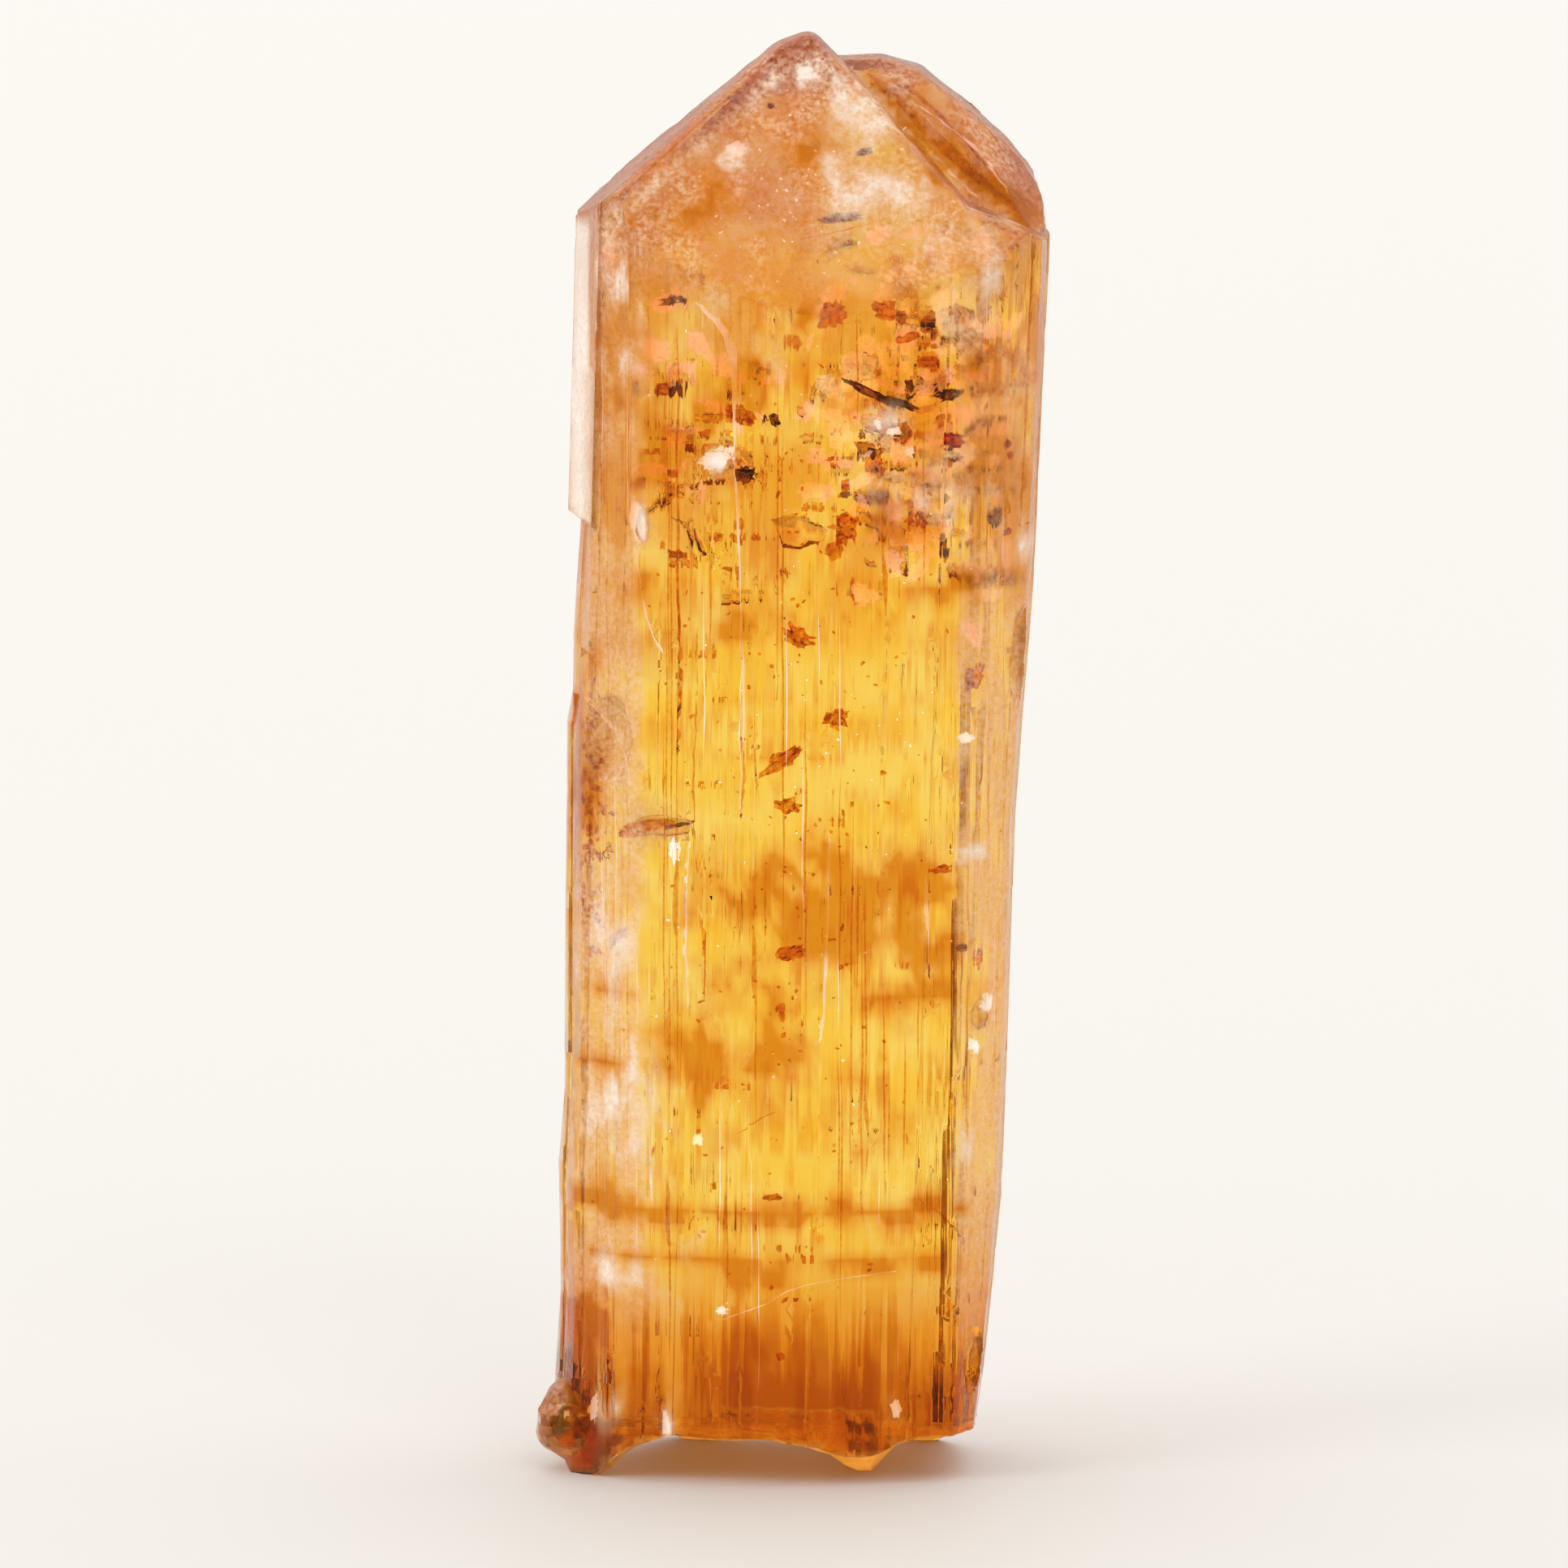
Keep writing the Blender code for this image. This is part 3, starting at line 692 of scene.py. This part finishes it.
def crowd(name, material, front, seed, count, zone, sizes, thin, fineness):
    """Many small ragged flakes in a box-shaped zone, closer together towards its middle."""
    chance = random.Random(seed)
    shape = bmesh.new()
    across, behind, up = zone
    for number in range(count):
        x = chance.triangular(*across)
        z = chance.triangular(*up)
        skin = front.depth(x, z)
        if skin is None:
            continue
        centre = (x, skin + chance.uniform(*behind), z)
        size = chance.uniform(*sizes)
        radii = (size, size * thin, size * chance.uniform(0.4, 1.0))
        spin = chance.uniform(-1.6, 1.6)
        lean = chance.uniform(-1.2, 1.2)
        flake(shape, centre, radii, spin, lean, seed + number, fineness=fineness)
    return inside_piece(name, shape, material, front)


# Where the upright growth lines run, how far apart their places are, and how deep they lie
THREADS_ACROSS = (-5.0, 5.3)
THREADS_LOW = 2.0
THREADS_HIGH = 30.0
THREAD_STEP = 0.5
THREAD_COVER = 0.12


def growth_lines(name, material, front, seed, count, lengths, width):
    """Long thin upright lines just under the front."""
    chance = random.Random(seed)
    shape = bmesh.new()
    for _ in range(count):
        x = chance.uniform(*THREADS_ACROSS)
        length = chance.uniform(*lengths)
        low = chance.uniform(THREADS_LOW, THREADS_HIGH - length)
        rows = []
        steps = max(2, int(length / THREAD_STEP))
        for step in range(steps + 1):
            z = low + length * step / steps
            across = x + 0.05 * noise.noise(Vector((x * 3.0, z * 0.6, seed)))
            depth = front.depth(across, z)
            if depth is None:
                break
            half = 0.5 * width * math.sin(math.pi * (step + 0.15) / (steps + 0.3))
            ends = (across - half, across + half)
            rows.append([shape.verts.new((end, depth + THREAD_COVER, z)) for end in ends])
        for lower, upper in zip(rows, rows[1:]):
            shape.faces.new((lower[0], lower[1], upper[1], upper[0]))
    return inside_piece(name, shape, material, front)


RIBBON_STEPS = 4


def ribbon(shape, path, inward, across, wave, seed):
    """A sheet that runs along a path near the front and into the stone, tapered at its ends."""
    rows = []
    for number, (x, y, z) in enumerate(path):
        row = []
        full = math.sin(math.pi * (number + 0.3) / (len(path) - 0.4)) ** 0.5
        for step in range(RIBBON_STEPS + 1):
            share = step / RIBBON_STEPS * full
            sway = wave * noise.noise(Vector((number * 0.35, share * 2.0, seed)))
            row.append(shape.verts.new((x + sway + across * share, y + inward * share, z + sway)))
        rows.append(row)
    for upper, lower in zip(rows, rows[1:]):
        for step in range(RIBBON_STEPS):
            shape.faces.new((upper[step], upper[step + 1], lower[step + 1], lower[step]))


def smooth_path(points, count):
    """Places evenly spread along straight runs between points, eased at the bends."""
    places = []
    for number in range(count + 1):
        along = number / count * (len(points) - 1)
        start = min(int(along), len(points) - 2)
        part = along - start
        before = Vector(points[max(start - 1, 0)])
        first = Vector(points[start])
        second = Vector(points[start + 1])
        after = Vector(points[min(start + 2, len(points) - 1)])
        bend = (second - before) * 0.5
        reach = (after - first) * 0.5
        cubic = 2 * first - 2 * second + bend + reach
        square = 3 * second - 3 * first - 2 * bend - reach
        places.append(((cubic * part + square) * part + bend) * part + first)
    return places


# How finely cracks and bands are made, how deep they begin and how much they sway
CRACK_PLACES = 30
CRACK_COVER = 0.10
CRACK_WAVE = 0.05
# Cracks and bands: the places along each, across and up, how far it goes in and how far it leans across. The pale
# cracks glow as painted reflections of light on the cracks
CRACK_GLINTS = (
    (((-2.45, 29.7), (-1.84, 29.1), (-1.53, 28.2), (-1.47, 27.2), (-1.43, 26.0)), 0.5, 0.26),
    (((-1.43, 26.0), (-1.30, 23.0), (-1.20, 20.0), (-1.28, 16.9)), 0.10, 0.05),
    (((0.92, 16.6), (0.85, 14.0), (0.70, 11.1)), 0.12, 0.06),
    (((-5.2, 19.6), (-4.7, 19.2), (-4.2, 18.4), (-4.0, 17.5)), 0.4, 0.12),
    (((-2.55, 16.2), (-2.65, 14.6), (-2.6, 12.0)), 0.08, 0.04),
    (((-1.7, 4.2), (-0.7, 4.6), (0.3, 5.1), (2.6, 5.4)), 0.20, 0.05),
    (((2.3, 34.2), (3.4, 33.1), (4.6, 32.0)), 0.10, 0.06),
    (((3.0, 34.3), (4.4, 33.3), (5.4, 32.1)), 0.10, 0.05),
    (((-3.9, 23.6), (-3.6, 21.8), (-3.2, 20.9)), 0.10, 0.04),
)
DARK_LINES = (
    (((-4.9, 31.6), (-3.4, 33.0), (-2.1, 34.15), (-0.9, 35.1)), 0.05, 0.14),
    (((2.6, 34.3), (3.9, 32.9), (5.7, 31.7)), 0.05, 0.12),
    (((3.6, 6.9), (4.1, 6.3), (4.3, 5.8)), 0.05, 0.10),
    (((-1.35, 8.9), (-0.8, 9.3), (-0.4, 9.5)), 0.05, 0.08),
    (((0.2, 31.2), (1.2, 31.4), (2.4, 31.7)), 0.05, 0.09),
    (((-2.85, 22.5), (-2.75, 20.5), (-2.8, 18.4)), 0.05, 0.05),
    (((-2.35, 19.8), (-2.45, 17.6), (-2.35, 15.4)), 0.05, 0.05),
    (((-1.25, 18.9), (-1.2, 17.9), (-1.28, 17.0)), 0.05, 0.07),
    (((-2.3, 14.5), (-2.2, 13.0), (-2.25, 12.2)), 0.05, 0.06),
)
# Bands of painted shade in the deep valley at the upper right, given the same way
VALLEY_SHADE = (
    (((1.85, 34.95), (2.8, 34.1), (4.1, 32.8), (5.2, 31.9), (6.0, 31.4)), 0.05, 0.34),
    (((2.5, 34.9), (3.6, 34.0), (4.8, 32.8), (5.8, 31.9)), 0.05, 0.12),
    (((3.3, 34.9), (4.4, 34.1), (5.3, 33.1)), 0.05, 0.25),
)


def cracks(name, lines, material, front):
    """Lines that run along given places just under the front."""
    shape = bmesh.new()
    for number, (points, inward, across) in enumerate(lines):
        path = []
        for x, _, z in smooth_path([(x, 0.0, z) for x, z in points], CRACK_PLACES):
            depth = front.depth(x, z)
            if depth is not None:
                path.append((x, depth + CRACK_COVER, z))
        ribbon(shape, path, inward, across, CRACK_WAVE, number)
    return inside_piece(name, shape, material, front)


# The flake that reaches in from the left and its dark point: name, material, place across, radii and seed
DAGGER = (
    ("dagger", "rust", -3.7, (0.85, 0.06, 0.20), 3),
    ("dagger_point", "dark", -2.75, (0.42, 0.05, 0.07), 8),
)
DAGGER_LEVEL = 16.5
DAGGER_COVER = 0.2
DAGGER_RISE = 0.25


def dagger(materials, front):
    """The orange flake with a dark point that reaches in from the left side."""
    start = DAGGER[0][2]
    for name, material, x, radii, seed in DAGGER:
        shape = bmesh.new()
        z = DAGGER_LEVEL + 0.1 * (x - start)
        centre = (x, front.depth(x, DAGGER_LEVEL) + DAGGER_COVER, z)
        flake(shape, centre, radii, -DAGGER_RISE, 0.1, seed, ragged=0.4)
        inside_piece(name, shape, materials[material], front)


def inside_materials():
    """What the things in the stone are made of: colour filters, gaps, veils with a faint painted glow, and white
    chips and pale cracks that glow as painted glints.
    """
    return {
        "rust": clear_material("rust", (0.60, 0.24, 0.02), (0.92, 0.52, 0.10), 1.0),
        # The dark filter of the bands in the deep valley is painted shade
        "valley": clear_material("valley", (0.42, 0.16, 0.03), (0.80, 0.42, 0.12), 1.0),
        "garnet": clear_material("dark_red", (0.30, 0.004, 0.002), (0.70, 0.05, 0.01), 1.0),
        "dark": clear_material("dark_flake", (0.12, 0.05, 0.02), (0.45, 0.20, 0.07), 1.0),
        "void": clear_material("void", (1.0, 0.72, 0.46), (1.0, 0.92, 0.80), VOID_IOR),
        # The white flakes and specks glow as painted glints
        "white": plain_material("white_glint", (1.0, 0.97, 0.94), 0.35, glow=0.7),
        "thread": clear_material("dark_thread", (0.60, 0.22, 0.03), (0.85, 0.42, 0.10), 1.0),
        # The pale cracks and threads glow: painted reflections of light on cracks and growth lines
        "pale": plain_material("pale_glint", (1.0, 0.88, 0.78), 0.4, glow=0.55),
        # The cream and blush veils glow faintly: painted light on real veils
        "cream": glowing_veil_material("glowing_cream_veil", (1.0, 0.87, 0.64), 0.85, 0.15),
        "blush": glowing_veil_material("glowing_blush_veil", (1.0, 0.78, 0.66), 0.80, 0.17),
    }


def build_inside(node):
    """Everything sealed in the stone."""
    front = Skin(node)
    made_of = inside_materials()
    seen_flakes("rust_flakes", RUST, made_of["rust"], front, 0.20, 10)
    seen_flakes("red_grains", GARNET, made_of["garnet"], front, 0.25, 40)
    seen_flakes("dark_flakes", DARK, made_of["dark"], front, 0.25, 70)
    seen_flakes("white_glints", BRIGHT_GLINTS, made_of["white"], front, 0.12, 90)
    for name, material, *rest in DEEP_CROWDS:
        crowd(name, made_of[material], front, *rest)
    growth_lines("dark_threads", made_of["thread"], front, 11, 44, (2.0, 14.0), 0.05)
    # Pale threads that glow: painted reflections from the growth lines
    growth_lines("pale_thread_glints", made_of["pale"], front, 12, 26, (1.0, 6.0), 0.03)
    for name, material, *rest in SHALLOW_CROWDS:
        crowd(name, made_of[material], front, *rest)
    dagger(made_of, front)
    cracks("pale_crack_glints", CRACK_GLINTS, made_of["pale"], front)
    cracks("dark_cracks", DARK_LINES, made_of["thread"], front)
    cracks("valley_bands", VALLEY_SHADE, made_of["valley"], front)


def camera():
    """The photo's view."""
    data = bpy.data.cameras.new("camera")
    data.sensor_width = SENSOR
    data.sensor_height = SENSOR
    data.lens = SENSOR * CAMERA_DISTANCE / FRAME_HEIGHT
    data.clip_start, data.clip_end = CAMERA_CLIP
    made = bpy.data.objects.new("camera", data)
    bpy.context.scene.collection.objects.link(made)
    away = Vector((0.0, -math.cos(CAMERA_ELEVATION), math.sin(CAMERA_ELEVATION)))
    made.location = CAMERA_AIM + away * CAMERA_DISTANCE
    made.rotation_euler = (math.radians(90.0) - CAMERA_ELEVATION, 0.0, 0.0)
    bpy.context.scene.camera = made


def area_light(name, place, aim, size, power, colour):
    """A soft square light that looks at a point."""
    data = bpy.data.lights.new(name, "AREA")
    data.shape = "RECTANGLE"
    data.size, data.size_y = size
    data.energy = power
    data.color = colour
    made = bpy.data.objects.new(name, data)
    bpy.context.scene.collection.objects.link(made)
    made.location = place
    made.rotation_euler = (Vector(aim) - Vector(place)).to_track_quat("-Z", "Y").to_euler()


def studio():
    """A pale floor, a big soft light above and behind, and smaller soft ones in front."""
    shape = bmesh.new()
    bmesh.ops.create_grid(shape, x_segments=1, y_segments=1, size=FLOOR_SIZE)
    mesh = bpy.data.meshes.new("floor")
    shape.to_mesh(mesh)
    shape.free()
    floor = bpy.data.objects.new("floor", mesh)
    bpy.context.scene.collection.objects.link(floor)
    mesh.materials.append(plain_material("pale_floor", FLOOR_COLOUR, FLOOR_ROUGHNESS))
    floor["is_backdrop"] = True
    world = bpy.data.worlds.new("studio")
    world.use_nodes = True
    sky = world.node_tree.nodes["Background"]
    sky.inputs["Color"].default_value = SKY_COLOUR
    sky.inputs["Strength"].default_value = SKY_STRENGTH
    bpy.context.scene.world = world
    for light in LIGHTS:
        area_light(*light)
    light_paths = bpy.context.scene.cycles
    light_paths.max_bounces = STONE_BOUNCES
    light_paths.transmission_bounces = STONE_BOUNCES
    light_paths.glossy_bounces = PLAIN_BOUNCES
    light_paths.diffuse_bounces = PLAIN_BOUNCES
    view = bpy.context.scene.view_settings
    view.view_transform = "Standard"
    view.look = "None"
    view.exposure = 0.0


sizes = {}
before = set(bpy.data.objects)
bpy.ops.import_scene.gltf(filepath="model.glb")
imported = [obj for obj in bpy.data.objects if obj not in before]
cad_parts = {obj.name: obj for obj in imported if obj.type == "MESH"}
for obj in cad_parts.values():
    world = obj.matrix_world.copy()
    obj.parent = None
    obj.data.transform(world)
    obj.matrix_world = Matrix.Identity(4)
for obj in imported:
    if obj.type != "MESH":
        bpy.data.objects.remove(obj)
write_sizes("cad", sizes)
crystal_piece(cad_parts["crystal"])
build_inside(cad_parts["crystal"])
studio()
camera()
write_sizes("visual", sizes)
